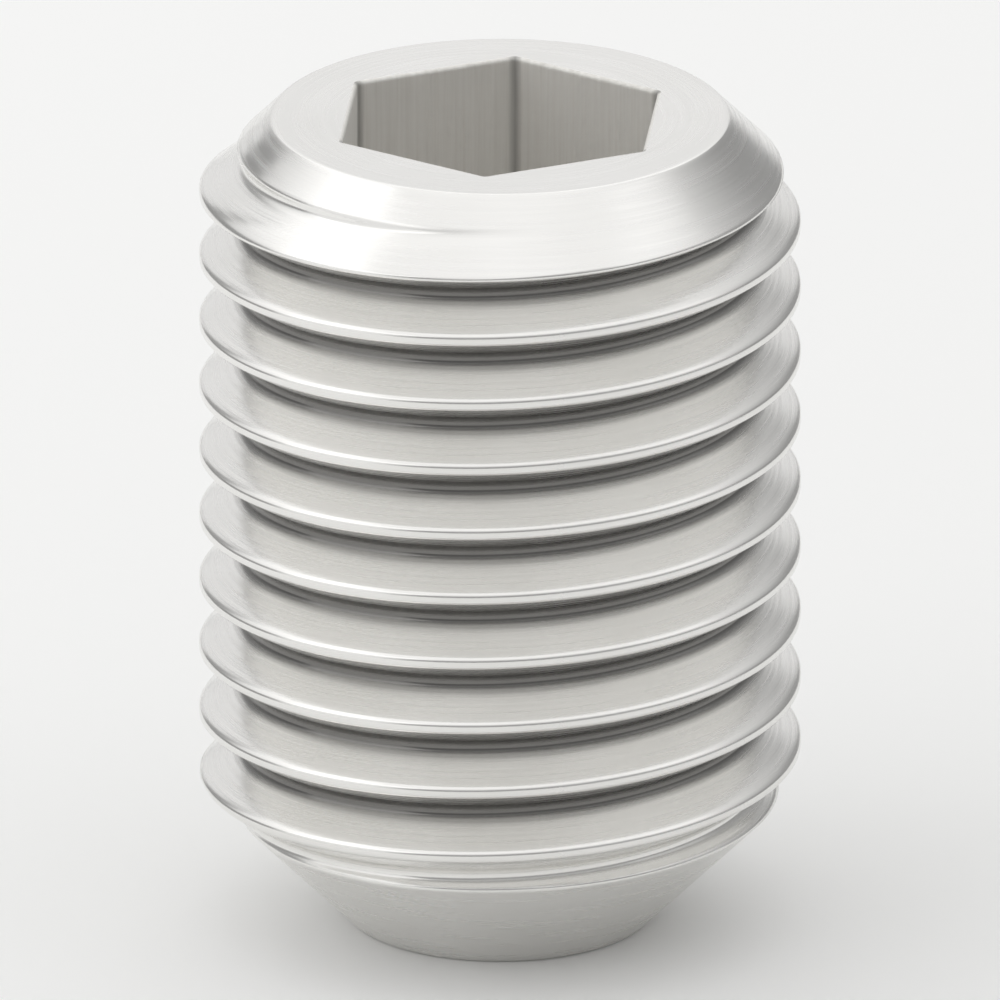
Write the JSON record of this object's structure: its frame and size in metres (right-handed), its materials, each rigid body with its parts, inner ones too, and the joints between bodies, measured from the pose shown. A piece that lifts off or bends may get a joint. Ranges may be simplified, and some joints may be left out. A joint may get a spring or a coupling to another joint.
{
  "type": "hexagon socket set screw",
  "caption": "Headless set screw threaded from end to end, with a chamfered flat point and a hexagon socket in the other end for a key.",
  "frame": {"origin": "centre of the flat face of the point", "axes": "+Z along the screw's axis, from the point towards the socket; two corners of the hexagon lie on the Y axis"},
  "size_m": [0.0112, 0.0112, 0.0156],
  "materials": {
    "stainless_steel": "bright, with turned ends and rolled thread flanks"
  },
  "bodies": {
    "root": {"set_screw": "stainless_steel"}
  },
  "joints": []
}
